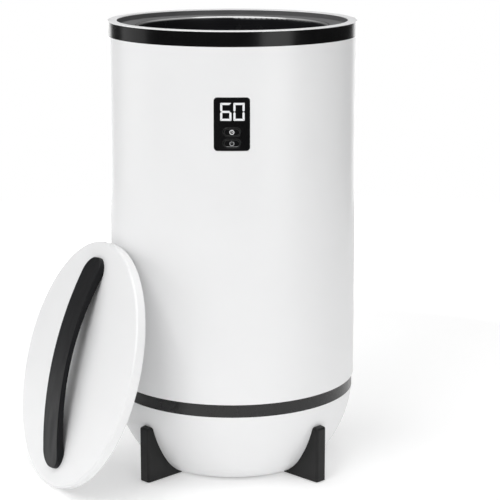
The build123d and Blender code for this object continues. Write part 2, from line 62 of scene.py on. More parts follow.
# %% Place the camera
SENSOR_MM = 36.0
LENS_MM = 122.11
LENS_SHIFT = -0.08
CAMERA_PLACE = Vector((0.01112, -2.04611, 0.73166))
CAMERA_TILT = math.radians(11.5596)
CAMERA_TURN = math.radians(0.2829)

camera_data = bpy.data.cameras.new("studio_camera")
camera_data.sensor_width = SENSOR_MM
camera_data.lens = LENS_MM
camera_data.shift_y = LENS_SHIFT
camera_data.clip_start = 0.05
camera_data.clip_end = 50.0
studio_camera = bpy.data.objects.new("studio_camera", camera_data)
bpy.context.scene.collection.objects.link(studio_camera)
studio_camera.location = CAMERA_PLACE
studio_camera.rotation_euler = (math.pi / 2 - CAMERA_TILT, 0.0, -CAMERA_TURN)
bpy.context.scene.camera = studio_camera
bpy.context.scene.view_settings.view_transform = "Standard"
print("camera stands", round(CAMERA_PLACE.length, 2), "m from the origin")

# %% [markdown]
# ## The room: a world that is white behind the object and dim behind the camera
#
# Black gloss has no colour of its own to show. What the eye reads as a black glossy band is the
# room mirrored in it, so the room needs bright and dark sides. Here the world is white where the
# camera sees it directly. For reflections it is bright overhead and low at the back, and dim
# elsewhere, as in a studio where the camera's side of the room is dark. For soft light it is a
# quiet grey, a little darker on the right, and the lamps do the rest. The bright back is a narrow
# patch at the horizon and below: it shows only where a band turns away from the eye, as a thin
# light line along each side of the bucket, and stays out of the pot's mouth.

# %% Build the world
studio_world = bpy.data.worlds.new("studio_world")
bpy.context.scene.world = studio_world
studio_world.use_nodes = True
world_nodes = studio_world.node_tree.nodes
world_links = studio_world.node_tree.links
background = world_nodes["Background"]

direction = world_nodes.new("ShaderNodeTexCoord").outputs["Generated"]
direction_parts = world_nodes.new("ShaderNodeSeparateXYZ")
world_links.new(direction, direction_parts.inputs["Vector"])


def world_ramp(value, start, end, low, high):
    """Smooth change of a number between two values of another."""
    ramp = world_nodes.new("ShaderNodeMapRange")
    ramp.interpolation_type = "SMOOTHSTEP"
    world_links.new(value, ramp.inputs["Value"])
    limits = {"From Min": start, "From Max": end, "To Min": low, "To Max": high}
    for socket, number in limits.items():
        ramp.inputs[socket].default_value = number
    return ramp.outputs["Result"]


def world_math(operation, first, second):
    """One sum on two sockets or numbers."""
    step = world_nodes.new("ShaderNodeMath")
    step.operation = operation
    for index, value in enumerate((first, second)):
        if isinstance(value, (int, float)):
            step.inputs[index].default_value = value
        else:
            world_links.new(value, step.inputs[index])
    return step.outputs["Value"]


FRONT_DIM = 0.06
BACK_BRIGHT = 2.6
BACK_EDGE = (0.80, 0.90)
HORIZON_EDGE = (-0.06, 0.08)
OVERHEAD_BRIGHT = 0.9
OVERHEAD_EDGE = (0.30, 0.75)
SOFT_LEFT = 0.40
SOFT_RIGHT = 0.32
SOFT_EDGE = (-0.2, 0.9)

backness = world_ramp(direction_parts.outputs["Y"], *BACK_EDGE, 0.0, BACK_BRIGHT)
low_down = world_ramp(direction_parts.outputs["Z"], *HORIZON_EDGE, 1.0, 0.0)
low_back = world_math("MAXIMUM", world_math("MULTIPLY", backness, low_down), FRONT_DIM)
overhead = world_ramp(direction_parts.outputs["Z"], *OVERHEAD_EDGE, 0.0, OVERHEAD_BRIGHT)
soft_level = world_ramp(direction_parts.outputs["X"], *SOFT_EDGE, SOFT_LEFT, SOFT_RIGHT)
mirrored = world_math("MAXIMUM", low_back, overhead)
light_path = world_nodes.new("ShaderNodeLightPath")
seen_in_gloss = world_math("MAXIMUM", light_path.outputs["Is Glossy Ray"],
                           light_path.outputs["Is Transmission Ray"])
gloss_part = world_math("MULTIPLY", mirrored, seen_in_gloss)
soft_part = world_math("MULTIPLY", world_math("SUBTRACT", 1.0, seen_in_gloss), soft_level)
unseen = world_math("ADD", gloss_part, soft_part)
direct = light_path.outputs["Is Camera Ray"]
hidden_share = world_math("MULTIPLY", unseen, world_math("SUBTRACT", 1.0, direct))
world_links.new(world_math("ADD", hidden_share, direct), background.inputs["Strength"])
background.inputs["Color"].default_value = (1.0, 1.0, 1.0, 1.0)
print("world nodes:", len(world_nodes))

# %% [markdown]
# ## Lamps
#
# Four wide, soft area lamps: one overhead that whitens the floor, one at the front left that
# lights the body and the lid, and a weak strip at each side. The body then falls from light at
# the left and middle to a soft grey at its right edge. The lamps are hidden from the camera, so
# no view shows them, but they still show in glossy surfaces as a studio's soft boxes would.

# %% Hang the lamps
LAMPS = {
    "overhead_box": {"place": (-0.2, -0.1, 2.6), "size": 2.4, "power": 40.0},
    "key_box": {"place": (-1.25, -2.0, 2.0), "size": 1.6, "power": 24.8},
    "left_strip": {"place": (-2.1, 0.35, 0.62), "size": 1.4, "power": 5.6},
    "right_strip": {"place": (1.45, -1.75, 0.5), "size": 1.2, "power": 9.6},
}
AIM = Vector((0.0, 0.0, 0.30))
for name, lamp in LAMPS.items():
    lamp_data = bpy.data.lights.new(name, "AREA")
    lamp_data.shape = "SQUARE"
    lamp_data.size = lamp["size"]
    lamp_data.energy = lamp["power"]
    lamp_object = bpy.data.objects.new(name, lamp_data)
    bpy.context.scene.collection.objects.link(lamp_object)
    lamp_object.location = lamp["place"]
    lamp_object.rotation_euler = (AIM - Vector(lamp["place"])).to_track_quat("-Z", "Y").to_euler()
    lamp_object.visible_camera = False
    print(name, lamp["power"], "W")

# %% [markdown]
# ## The floor
#
# The floor is one wide disc. Near the object it is an ordinary pale matt surface, so it catches
# the soft shadows of the feet and the lid. Further out it has to melt into the white background.
# There the camera sees plain white instead: a mix by distance from the origin, used only for
# rays that come straight from the camera. Near the object a small share of the same glow is left
# for all rays. It keeps the shadows pale, and it lights the bowl and the feet from below, as the
# lit table of a white studio does.

# %% Lay the floor
FLOOR_RADIUS = 1.7
FLOOR_SIDES = 96
FLOOR_GREYS = (0.945, 0.965)
FLOOR_GRAIN = 220.0
FLOOR_FADE = (0.62, 1.05)
FLOOR_GLOW = 0.2
GLOW_STRENGTH = 1.65

floor_mesh = bpy.data.meshes.new("studio_floor")
floor_form = bmesh.new()
bmesh.ops.create_circle(floor_form, cap_ends=True, cap_tris=False, segments=FLOOR_SIDES,
                        radius=FLOOR_RADIUS)
floor_form.to_mesh(floor_mesh)
floor_form.free()
studio_floor = bpy.data.objects.new("studio_floor", floor_mesh)
bpy.context.scene.collection.objects.link(studio_floor)

floor_finish = bpy.data.materials.new("floor_matt")
floor_finish.use_nodes = True
floor_nodes = floor_finish.node_tree.nodes
floor_links = floor_finish.node_tree.links
floor_nodes.remove(floor_nodes["Principled BSDF"])
matt = floor_nodes.new("ShaderNodeBsdfDiffuse")
plain_white = floor_nodes.new("ShaderNodeEmission")
plain_white.inputs["Strength"].default_value = GLOW_STRENGTH
floor_place = floor_nodes.new("ShaderNodeTexCoord").outputs["Object"]
grain = floor_nodes.new("ShaderNodeTexNoise")
grain.inputs["Scale"].default_value = FLOOR_GRAIN
floor_links.new(floor_place, grain.inputs["Vector"])
floor_tint = floor_nodes.new("ShaderNodeMix")
floor_tint.data_type = "RGBA"
for socket, grey in zip(("A", "B"), FLOOR_GREYS):
    floor_tint.inputs[socket].default_value = (grey, grey, grey, 1.0)
floor_links.new(grain.outputs["Fac"], floor_tint.inputs["Factor"])
floor_links.new(floor_tint.outputs["Result"], matt.inputs["Color"])
distance = floor_nodes.new("ShaderNodeVectorMath")
distance.operation = "LENGTH"
floor_links.new(floor_place, distance.inputs["Vector"])
fade = floor_nodes.new("ShaderNodeMapRange")
fade.interpolation_type = "SMOOTHSTEP"
fade.inputs["From Min"].default_value, fade.inputs["From Max"].default_value = FLOOR_FADE
floor_links.new(distance.outputs["Value"], fade.inputs["Value"])
floor_path = floor_nodes.new("ShaderNodeLightPath")
only_camera = floor_nodes.new("ShaderNodeMath")
only_camera.operation = "MULTIPLY"
floor_links.new(fade.outputs["Result"], only_camera.inputs[0])
floor_links.new(floor_path.outputs["Is Camera Ray"], only_camera.inputs[1])
glow_share = floor_nodes.new("ShaderNodeMath")
glow_share.operation = "MAXIMUM"
glow_share.inputs[1].default_value = FLOOR_GLOW
floor_links.new(only_camera.outputs["Value"], glow_share.inputs[0])
blend = floor_nodes.new("ShaderNodeMixShader")
floor_links.new(glow_share.outputs["Value"], blend.inputs["Fac"])
floor_links.new(matt.outputs["BSDF"], blend.inputs[1])
floor_links.new(plain_white.outputs["Emission"], blend.inputs[2])
floor_links.new(blend.outputs["Shader"], floor_nodes["Material Output"].inputs["Surface"])
floor_mesh.materials.append(floor_finish)
print("floor radius", FLOOR_RADIUS, "m")

# %% [markdown]
# ## Small tools for finishes
#
# Each finish below is one Principled shader with patterns on its colour, its roughness and its
# bumps. The patterns read Object coordinates, which are metres here, so a noise scale of 400
# makes marks of about 2.5 mm. The helpers keep each finish short: start a finish, make a noise,
# drive a number or a colour by a pattern, turn a pattern into relief, and run it round in rings.

# %% Helpers for finishes
def start_finish(name, metallic=0.0, specular=0.5):
    """A new material with its shader, and the place on the object as a socket."""
    finish = bpy.data.materials.new(name)
    finish.use_nodes = True
    shader = finish.node_tree.nodes["Principled BSDF"]
    shader.inputs["Metallic"].default_value = metallic
    shader.inputs["Specular IOR Level"].default_value = specular
    place = finish.node_tree.nodes.new("ShaderNodeTexCoord").outputs["Object"]
    return finish, shader, place


def noise(finish, place, scale, detail=2.0, stretch=(1.0, 1.0, 1.0)):
    """Cloudy pattern; a stretch above 1 packs it tighter along that axis."""
    nodes, links = finish.node_tree.nodes, finish.node_tree.links
    mapping = nodes.new("ShaderNodeMapping")
    mapping.inputs["Scale"].default_value = stretch
    links.new(place, mapping.inputs["Vector"])
    pattern = nodes.new("ShaderNodeTexNoise")
    pattern.inputs["Scale"].default_value = scale
    pattern.inputs["Detail"].default_value = detail
    links.new(mapping.outputs["Vector"], pattern.inputs["Vector"])
    return pattern.outputs["Fac"]


def spread(finish, pattern, socket, low, high, start=0.3, end=0.7):
    """Drives a number between two values by a pattern."""
    ramp = finish.node_tree.nodes.new("ShaderNodeMapRange")
    limits = {"From Min": start, "From Max": end, "To Min": low, "To Max": high}
    for limit, number in limits.items():
        ramp.inputs[limit].default_value = number
    finish.node_tree.links.new(pattern, ramp.inputs["Value"])
    finish.node_tree.links.new(ramp.outputs["Result"], socket)


def tint(finish, pattern, socket, first, second, start=0.3, end=0.7):
    """Drives a colour between two colours by a pattern."""
    mix = finish.node_tree.nodes.new("ShaderNodeMix")
    mix.data_type = "RGBA"
    mix.inputs["A"].default_value = (*first, 1.0)
    mix.inputs["B"].default_value = (*second, 1.0)
    spread(finish, pattern, mix.inputs["Factor"], 0.0, 1.0, start, end)
    finish.node_tree.links.new(mix.outputs["Result"], socket)


def relief(finish, shader, pattern, depth, strength=1.0):
    """Turns a pattern into bumps of this depth in metres."""
    bump = finish.node_tree.nodes.new("ShaderNodeBump")
    bump.inputs["Distance"].default_value = depth
    bump.inputs["Strength"].default_value = strength
    finish.node_tree.links.new(pattern, bump.inputs["Height"])
    finish.node_tree.links.new(bump.outputs["Normal"], shader.inputs["Normal"])


def round_place(finish, place):
    """Distance from the axis and height as a place, so that a pattern runs round in rings."""
    nodes, links = finish.node_tree.nodes, finish.node_tree.links
    parts = nodes.new("ShaderNodeSeparateXYZ")
    links.new(place, parts.inputs["Vector"])
    flat = nodes.new("ShaderNodeCombineXYZ")
    links.new(parts.outputs["X"], flat.inputs["X"])
    links.new(parts.outputs["Y"], flat.inputs["Y"])
    radius = nodes.new("ShaderNodeVectorMath")
    radius.operation = "LENGTH"
    links.new(flat.outputs["Vector"], radius.inputs[0])
    rings = nodes.new("ShaderNodeCombineXYZ")
    links.new(radius.outputs["Value"], rings.inputs["X"])
    links.new(parts.outputs["Z"], rings.inputs["Z"])
    return rings.outputs["Vector"]


print("finish helpers are ready")

# %% [markdown]
# ## White finishes
#
# The body, the bowl and the lip are white and softly glossy. Sprayed or moulded white is never
# one even value: it has a faint cloudiness, and its gloss has a fine orange-peel texture that
# only shows where a light is mirrored. Both are kept very small, or the body would look dirty.
# The lid has the same white with a finer texture, because its face is a flat panel.

# %% White of the body and white of the lid
def white_finish(name, dark, light, smooth, rough, peel_depth):
    """Softly glossy white with a faint cloud and orange peel."""
    finish, shader, place = start_finish(name)
    cloud = noise(finish, place, 7.0, detail=3.0)
    tint(finish, cloud, shader.inputs["Base Color"], dark, light)
    smudge = noise(finish, place, 38.0, detail=4.0)
    spread(finish, smudge, shader.inputs["Roughness"], smooth, rough)
    peel = noise(finish, place, 420.0, detail=1.0)
    relief(finish, shader, peel, peel_depth)
    shader.inputs["Coat Weight"].default_value = 0.25
    shader.inputs["Coat Roughness"].default_value = 0.22
    return finish


body_white = white_finish("body_white", (0.800, 0.802, 0.806), (0.825, 0.827, 0.830),
                          smooth=0.34, rough=0.44, peel_depth=0.000012)
lid_white = white_finish("lid_white", (0.800, 0.802, 0.806), (0.825, 0.826, 0.829),
                         smooth=0.36, rough=0.46, peel_depth=0.000008)
print("white finishes:", body_white.name, lid_white.name)

# %% [markdown]
# ## Glossy black
#
# The two bands and the control panel are glossy, and each is a little different. The band under
# the rim is the darkest, the lower one mirrors more of the lit floor, and the panel is the
# smoothest, as a pane is, with a thin clear coat.

# %% Glossy black of the bands and the panel
def gloss_black(name, dark, light, smooth, rough, coat, specular):
    """Glossy black with faint wiping marks; dark and light are greys with a touch of blue."""
    finish, shader, place = start_finish(name, specular=specular)
    cloud = noise(finish, place, 14.0, detail=3.0)
    tint(finish, cloud, shader.inputs["Base Color"], dark, light)
    wiped = noise(finish, place, 60.0, detail=5.0)
    spread(finish, wiped, shader.inputs["Roughness"], smooth, rough)
    relief(finish, shader, noise(finish, place, 260.0, detail=1.0), 0.000006)
    shader.inputs["Coat Weight"].default_value = coat
    shader.inputs["Coat Roughness"].default_value = 0.06
    return finish


rim_black = gloss_black("rim_black", (0.0020, 0.0020, 0.0022), (0.0035, 0.0035, 0.0038),
                        smooth=0.18, rough=0.25, coat=0.0, specular=0.32)
base_black = gloss_black("base_black", (0.0030, 0.0030, 0.0032), (0.0050, 0.0050, 0.0054),
                         smooth=0.22, rough=0.30, coat=0.0, specular=0.50)
panel_black = gloss_black("panel_black", (0.0030, 0.0030, 0.0033), (0.0055, 0.0055, 0.0060),
                          smooth=0.08, rough=0.14, coat=0.2, specular=0.40)
print("gloss blacks:", rim_black.name, base_black.name, panel_black.name)

# %% [markdown]
# ## Moulded black
#
# These have to read apart from the glossy ones and from each other. The handle is satin with a
# fine moulded grain. The feet are the same plastic, a little glossier, with faint upright scuffs.
# The collar inside the rim is a matt dark grey, and light falls straight onto it from above. The
# hidden mouldings are a plain rough black.

# %% Satin black of the handle, the feet, the collar and the hidden mouldings
def moulded_black(name, dark, light, smooth, rough, specular, grain_scale, grain_depth):
    """Black plastic with scuffs and a moulded grain."""
    finish, shader, place = start_finish(name, specular=specular)
    cloud = noise(finish, place, 22.0, detail=4.0)
    tint(finish, cloud, shader.inputs["Base Color"], dark, light)
    scuffs = noise(finish, place, 90.0, detail=6.0, stretch=(1.0, 1.0, 0.25))
    spread(finish, scuffs, shader.inputs["Roughness"], smooth, rough)
    relief(finish, shader, noise(finish, place, grain_scale, detail=2.0), grain_depth)
    return finish


handle_black = moulded_black("handle_black", (0.004, 0.004, 0.005), (0.007, 0.007, 0.008),
                             smooth=0.38, rough=0.50, specular=0.17, grain_scale=1100.0,
                             grain_depth=0.00002)
foot_black = moulded_black("foot_black", (0.005, 0.005, 0.005), (0.009, 0.009, 0.009),
                           smooth=0.30, rough=0.46, specular=0.28, grain_scale=900.0,
                           grain_depth=0.00002)
collar_black = moulded_black("collar_black", (0.092, 0.092, 0.094), (0.118, 0.118, 0.120),
                             smooth=0.45, rough=0.6, specular=0.40, grain_scale=800.0,
                             grain_depth=0.00002)
inner_black = moulded_black("inner_black", (0.020, 0.020, 0.020), (0.030, 0.030, 0.030),
                            smooth=0.5, rough=0.65, specular=0.40, grain_scale=700.0,
                            grain_depth=0.00003)
print("moulded blacks:", handle_black.name, foot_black.name, collar_black.name, inner_black.name)

# %% [markdown]
# ## The pot's coating, and the metals
#
# The pot is drawn aluminium with a baked dark coating. Drawing and spinning leave very fine
# rings round the axis, which stretch a highlight along the wall, so its patterns run in rings.
# Its flange has a matt, greyer coat. On the rounded mouth between the two, a narrow band of
# lighter, smoother and partly metallic grey is a painted highlight: it draws a fine bright line
# round the mouth, and the lamps mirrored in it add to that line where it faces them.
# The chassis plate, thermostat and fuse are zinc plated, with the leafy spangle that zinc shows.
# The screws are plain steel with turning marks. The base cover is a plate with a powder coat.

# %% Pot coating, zinc, screw steel and powder coat
MOUTH_RISE = (0.1142, 0.1148)
MOUTH_FALL = (0.1158, 0.1168)
FLANGE_RISE = (0.1168, 0.1178)
FLANGE_FALL = (1.0, 2.0)  # far outside the object, so the flange has no outer end


def overlay(finish, mask, socket):
    """Lays a second value over a driven socket where the mask is 1, and returns its input."""
    mix = finish.node_tree.nodes.new("ShaderNodeMix")
    mix.data_type = "RGBA" if socket.type == "RGBA" else "FLOAT"
    links = finish.node_tree.links
    links.new(mask, mix.inputs["Factor"])
    links.new(socket.links[0].from_socket, mix.inputs["A"])
    links.new(mix.outputs["Result"], socket)
    return mix.inputs["B"]


def band_mask(finish, value, rise, fall):
    """A mask that is 1 between the rise and the fall of a value and 0 outside."""
    product = finish.node_tree.nodes.new("ShaderNodeMath")
    product.operation = "MULTIPLY"
    spread(finish, value, product.inputs[0], 0.0, 1.0, *rise)
    spread(finish, value, product.inputs[1], 1.0, 0.0, *fall)
    return product.outputs["Value"]


pot_coating, shader, place = start_finish("pot_dark_coating", specular=0.30)
rings = round_place(pot_coating, place)
pot_nodes, pot_links = pot_coating.node_tree.nodes, pot_coating.node_tree.links
ring_parts = pot_nodes.new("ShaderNodeSeparateXYZ")
pot_links.new(rings, ring_parts.inputs["Vector"])
pot_radius = ring_parts.outputs["X"]
lathe_rings = noise(pot_coating, rings, 520.0, detail=3.0)
mottle = noise(pot_coating, place, 45.0, detail=4.0)
tint(pot_coating, lathe_rings, shader.inputs["Base Color"], (0.008, 0.008, 0.009),
     (0.014, 0.014, 0.016))
spread(pot_coating, mottle, shader.inputs["Roughness"], 0.20, 0.28)
relief(pot_coating, shader, noise(pot_coating, rings, 900.0, detail=2.0), 0.00002)

on_flange = band_mask(pot_coating, pot_radius, FLANGE_RISE, FLANGE_FALL)
tint(pot_coating, mottle, overlay(pot_coating, on_flange, shader.inputs["Base Color"]),
     (0.080, 0.080, 0.082), (0.105, 0.105, 0.107))
spread(pot_coating, mottle, overlay(pot_coating, on_flange, shader.inputs["Roughness"]), 0.55, 0.70)
# The mouth band is a painted highlight: a lighter, smoother, partly metallic grey ring.
mouth_painted_highlight = band_mask(pot_coating, pot_radius, MOUTH_RISE, MOUTH_FALL)
tint(pot_coating, lathe_rings, overlay(pot_coating, mouth_painted_highlight, shader.inputs["Base Color"]),
     (0.34, 0.34, 0.34), (0.44, 0.44, 0.44))
spread(pot_coating, mottle, overlay(pot_coating, mouth_painted_highlight, shader.inputs["Roughness"]), 0.10, 0.16)
spread(pot_coating, mouth_painted_highlight, shader.inputs["Metallic"], 0.0, 0.6, 0.0, 1.0)

zinc, shader, place = start_finish("zinc_plate", metallic=1.0)
spangle = zinc.node_tree.nodes.new("ShaderNodeTexVoronoi")
spangle.inputs["Scale"].default_value = 90.0
zinc.node_tree.links.new(place, spangle.inputs["Vector"])
tint(zinc, spangle.outputs["Color"], shader.inputs["Base Color"], (0.50, 0.52, 0.54),
     (0.68, 0.69, 0.70), 0.1, 0.9)
spread(zinc, spangle.outputs["Distance"], shader.inputs["Roughness"], 0.32, 0.5, 0.0, 0.8)

screw_steel, shader, place = start_finish("screw_steel", metallic=1.0)
tint(screw_steel, noise(screw_steel, place, 900.0, detail=3.0), shader.inputs["Base Color"],
     (0.46, 0.46, 0.47), (0.62, 0.62, 0.63))
spread(screw_steel, noise(screw_steel, place, 300.0, detail=4.0), shader.inputs["Roughness"],
       0.28, 0.45)

cover_black, shader, place = start_finish("cover_powder_coat")
tint(cover_black, noise(cover_black, place, 30.0, detail=3.0), shader.inputs["Base Color"],
     (0.018, 0.018, 0.018), (0.028, 0.028, 0.028))
powder = noise(cover_black, place, 1300.0, detail=3.0)
spread(cover_black, powder, shader.inputs["Roughness"], 0.5, 0.7)
relief(cover_black, shader, powder, 0.00005)
print("metals:", pot_coating.name, zinc.name, screw_steel.name, cover_black.name)

# %% [markdown]
# ## Rubber, wool and boards
#
# These lie inside or underneath. They still get a finish of their own, because the object can be
# looked at from below or taken apart.

# %% Silicone, fibre wool and circuit board
silicone, shader, place = start_finish("black_silicone", specular=0.35)
tint(silicone, noise(silicone, place, 60.0, detail=4.0), shader.inputs["Base Color"],
     (0.022, 0.022, 0.022), (0.036, 0.036, 0.036))
spread(silicone, noise(silicone, place, 200.0, detail=4.0), shader.inputs["Roughness"], 0.6, 0.8)
relief(silicone, shader, noise(silicone, place, 1500.0, detail=2.0), 0.00003)

fibre_wool, shader, place = start_finish("fibre_wool", specular=0.2)
fibres = noise(fibre_wool, place, 260.0, detail=8.0, stretch=(1.0, 1.0, 5.0))
tint(fibre_wool, fibres, shader.inputs["Base Color"], (0.62, 0.58, 0.46), (0.88, 0.85, 0.76))
spread(fibre_wool, fibres, shader.inputs["Roughness"], 0.85, 1.0)
relief(fibre_wool, shader, fibres, 0.0008)
shader.inputs["Sheen Weight"].default_value = 0.3

circuit_board, shader, place = start_finish("circuit_board")
tracks = circuit_board.node_tree.nodes.new("ShaderNodeTexBrick")
tracks.inputs["Scale"].default_value = 120.0
tracks.inputs["Mortar Size"].default_value = 0.03
tracks.inputs["Color1"].default_value = (0.008, 0.075, 0.030, 1.0)
tracks.inputs["Color2"].default_value = (0.010, 0.100, 0.040, 1.0)
tracks.inputs["Mortar"].default_value = (0.020, 0.190, 0.080, 1.0)
circuit_board.node_tree.links.new(place, tracks.inputs["Vector"])
circuit_board.node_tree.links.new(tracks.outputs["Color"], shader.inputs["Base Color"])
spread(circuit_board, noise(circuit_board, place, 150.0), shader.inputs["Roughness"], 0.3, 0.45)
relief(circuit_board, shader, tracks.outputs["Fac"], 0.00004)
print("soft and board finishes:", silicone.name, fibre_wool.name, circuit_board.name)

# %% [markdown]
# ## The display's light, and the printed marks
#
# The digits are lit from behind through a white diffuser: they give off their own light, a bit
# uneven along each stroke. The clock icon is lit as well and the power icon only weakly, as on a
# panel that is switched on. The outlines of the buttons are a faint dull print. Along the lower
# edge of the power button's outline a light grey is painted in as a highlight.

# %% Lit digits and icons, and the dull print
def lit_print(name, shade, glow_strength):
    """Print that is lit from behind: a grey that also gives off light."""
    finish, shader, place = start_finish(name, specular=0.3)
    glow = noise(finish, place, 350.0, detail=1.0)
    tint(finish, glow, shader.inputs["Base Color"], (0.9 * shade,) * 3, (1.1 * shade,) * 3)
    tint(finish, glow, shader.inputs["Emission Color"], (0.92, 0.95, 1.0), (1.0, 1.0, 1.0))
    shader.inputs["Emission Strength"].default_value = glow_strength
    shader.inputs["Roughness"].default_value = 0.3
    return finish


digit_light = lit_print("digit_light", 0.30, 0.58)
clock_light = lit_print("clock_light", 0.30, 0.50)
power_light = lit_print("power_light", 0.20, 0.16)

outline_print, shader, place = start_finish("outline_print", specular=0.3)
tint(outline_print, noise(outline_print, place, 1800.0, detail=3.0), shader.inputs["Base Color"],
     (0.030, 0.030, 0.030), (0.075, 0.075, 0.075))
spread(outline_print, noise(outline_print, place, 900.0), shader.inputs["Roughness"], 0.4, 0.6)

# Power button outline: light grey painted along its lower edge as a highlight, dull print above.
POWER_HIGHLIGHT_HEIGHTS = (0.4168, 0.4180)
power_outline_painted_highlight, shader, place = start_finish("power_outline_painted_highlight", specular=0.3)
height_parts = power_outline_painted_highlight.node_tree.nodes.new("ShaderNodeSeparateXYZ")
power_outline_painted_highlight.node_tree.links.new(place, height_parts.inputs["Vector"])
tint(power_outline_painted_highlight, height_parts.outputs["Z"], shader.inputs["Base Color"],
     (0.55, 0.55, 0.56), (0.045, 0.045, 0.045), *POWER_HIGHLIGHT_HEIGHTS)
spread(power_outline_painted_highlight, noise(power_outline_painted_highlight, place, 900.0), shader.inputs["Roughness"], 0.4, 0.6)
print("display finishes:", digit_light.name, clock_light.name, power_light.name,
      outline_print.name, power_outline_painted_highlight.name)

# %% [markdown]
# ## Give each CAD node its finish
#
# A CAD node keeps its mesh and gets its finish by assigning to its material slots.

# %% Assign the finishes
FINISH_OF = {
    "outer_shell": body_white, "base_bowl": body_white, "top_lip_ring": body_white,
    "lid_cover": lid_white, "lid_under_cover": lid_white,
    "rim_band": rim_black, "lower_band": base_black,
    "control_lens": panel_black, "timer_button": panel_black, "power_button": panel_black,
    "inner_collar": collar_black, "lid_handle": handle_black,
    "foot_front_right": foot_black, "foot_front_left": foot_black,
    "foot_back_left": foot_black, "foot_back_right": foot_black,
    "panel_housing": inner_black, "display_module": inner_black, "cord_gland": inner_black,
    "timer_switch": inner_black, "power_switch": inner_black,
    "inner_liner": pot_coating, "base_cover": cover_black,
    "chassis_plate": zinc, "thermostat": zinc, "thermal_fuse": zinc,
    "chassis_screws": screw_steel, "base_cover_screws": screw_steel, "foot_screws": screw_steel,
    "panel_screws": screw_steel, "mains_board_screws": screw_steel, "handle_screws": screw_steel,
    "foot_pads": silicone, "lid_seal": silicone, "heating_band": silicone,
    "insulation_sleeve": fibre_wool, "floor_pad": fibre_wool, "lid_insulation": fibre_wool,
    "mains_board": circuit_board, "display_board": circuit_board,
}
for node_name, finish in FINISH_OF.items():
    for material_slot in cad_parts[node_name].material_slots:
        material_slot.material = finish
missing = sorted(set(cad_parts) - set(FINISH_OF))
print("finished nodes:", len(FINISH_OF), "without a finish:", missing)

# %% [markdown]
# ## Flat outlines that lie on the round body
#
# The panel's lens, the buttons, the digits and the icons are all flat outlines that follow the
# body's curve. Each is drawn flat as a curve in X and Z, filled and given a thickness, made a
# mesh, cut into narrow upright strips, and then set on the round surface: a point keeps its X
# and Z, and its Y comes from the circle. The strips matter, because a wide flat triangle would
# stay flat and dive under the surface.

# %% Helpers for outlines on the round body
PANEL_MIDDLE = 0.4425
LENS_RADIUS = 0.1502
STRIP_WIDTH = 0.0008
FRONT_FACING = math.cos(math.radians(4))
SHARP_ANGLE = math.radians(35)
EDGE_STEPS = 3
WELD_DISTANCE = 1e-6
CUT_DISTANCE = 1e-7


def pill(width, height, corner, at=(0.0, 0.0), steps=10):
    """Points of a rounded rectangle, anticlockwise."""
    points = []
    across, up = width / 2 - corner, height / 2 - corner
    for centre_x, centre_z, start in ((across, up, 0), (-across, up, 90), (-across, -up, 180),
                                      (across, -up, 270)):
        for step in range(steps + 1):
            angle = math.radians(start + 90 * step / steps)
            points.append((at[0] + centre_x + corner * math.cos(angle),
                           at[1] + centre_z + corner * math.sin(angle)))
    return points


def ring_points(radius, at=(0.0, 0.0), steps=40):
    """Points of a circle."""
    return [(at[0] + radius * math.cos(2 * math.pi * step / steps),
             at[1] + radius * math.sin(2 * math.pi * step / steps)) for step in range(steps)]


def flat_piece(name, outlines, thickness, edge=0.0):
    """Mesh of filled outlines (holes inside them stay open), its front face at Y 0."""
    drawing = bpy.data.curves.new(name + "_drawing", "CURVE")
    drawing.dimensions = "2D"
    drawing.fill_mode = "BOTH"
    for outline in outlines:
        spline = drawing.splines.new("POLY")
        spline.points.add(len(outline) - 1)
        for point, (x, z) in zip(spline.points, outline):
            point.co = (x, z, 0.0, 1.0)
        spline.use_cyclic_u = True
    drawing.extrude = thickness / 2 - edge
    drawing.bevel_depth = edge
    drawing.bevel_resolution = EDGE_STEPS
    drawing.offset = -edge
    sketch = bpy.data.objects.new(name + "_drawing", drawing)
    bpy.context.scene.collection.objects.link(sketch)
    bpy.context.view_layer.update()
    mesh = bpy.data.meshes.new_from_object(
        sketch.evaluated_get(bpy.context.evaluated_depsgraph_get()))
    bpy.data.objects.remove(sketch)
    bpy.data.curves.remove(drawing)
    form = bmesh.new()
    form.from_mesh(mesh)
    bpy.data.meshes.remove(mesh)
    stand_up = Matrix.Rotation(math.pi / 2, 4, "X")
    bmesh.ops.transform(form, matrix=stand_up, verts=form.verts)
    bmesh.ops.translate(form, vec=(0.0, thickness / 2, 0.0), verts=form.verts)
    bmesh.ops.remove_doubles(form, verts=form.verts, dist=WELD_DISTANCE)
    return form


def lay_on_body(form, radius):
    """Cuts the mesh into narrow strips and sets it on the round body at this radius."""
    low = min(vert.co.x for vert in form.verts)
    high = max(vert.co.x for vert in form.verts)
    count = max(1, round((high - low) / STRIP_WIDTH))
    for index in range(1, count):
        at = low + (high - low) * index / count
        bmesh.ops.bisect_plane(form, geom=form.verts[:] + form.edges[:] + form.faces[:],
                               dist=CUT_DISTANCE, plane_co=(at, 0.0, 0.0),
                               plane_no=(1.0, 0.0, 0.0))
    for vert in form.verts:
        inward = vert.co.y
        vert.co.y = -math.sqrt((radius - inward) ** 2 - vert.co.x ** 2)


def panel_form(name, outlines, thickness, radius, edge=0.0):
    """Outlines in X and Z from the panel's middle, made solid and laid on the body."""
    form = flat_piece(name, outlines, thickness, edge)
    lay_on_body(form, radius)
    bmesh.ops.translate(form, vec=(0.0, 0.0, PANEL_MIDDLE), verts=form.verts)
    return form


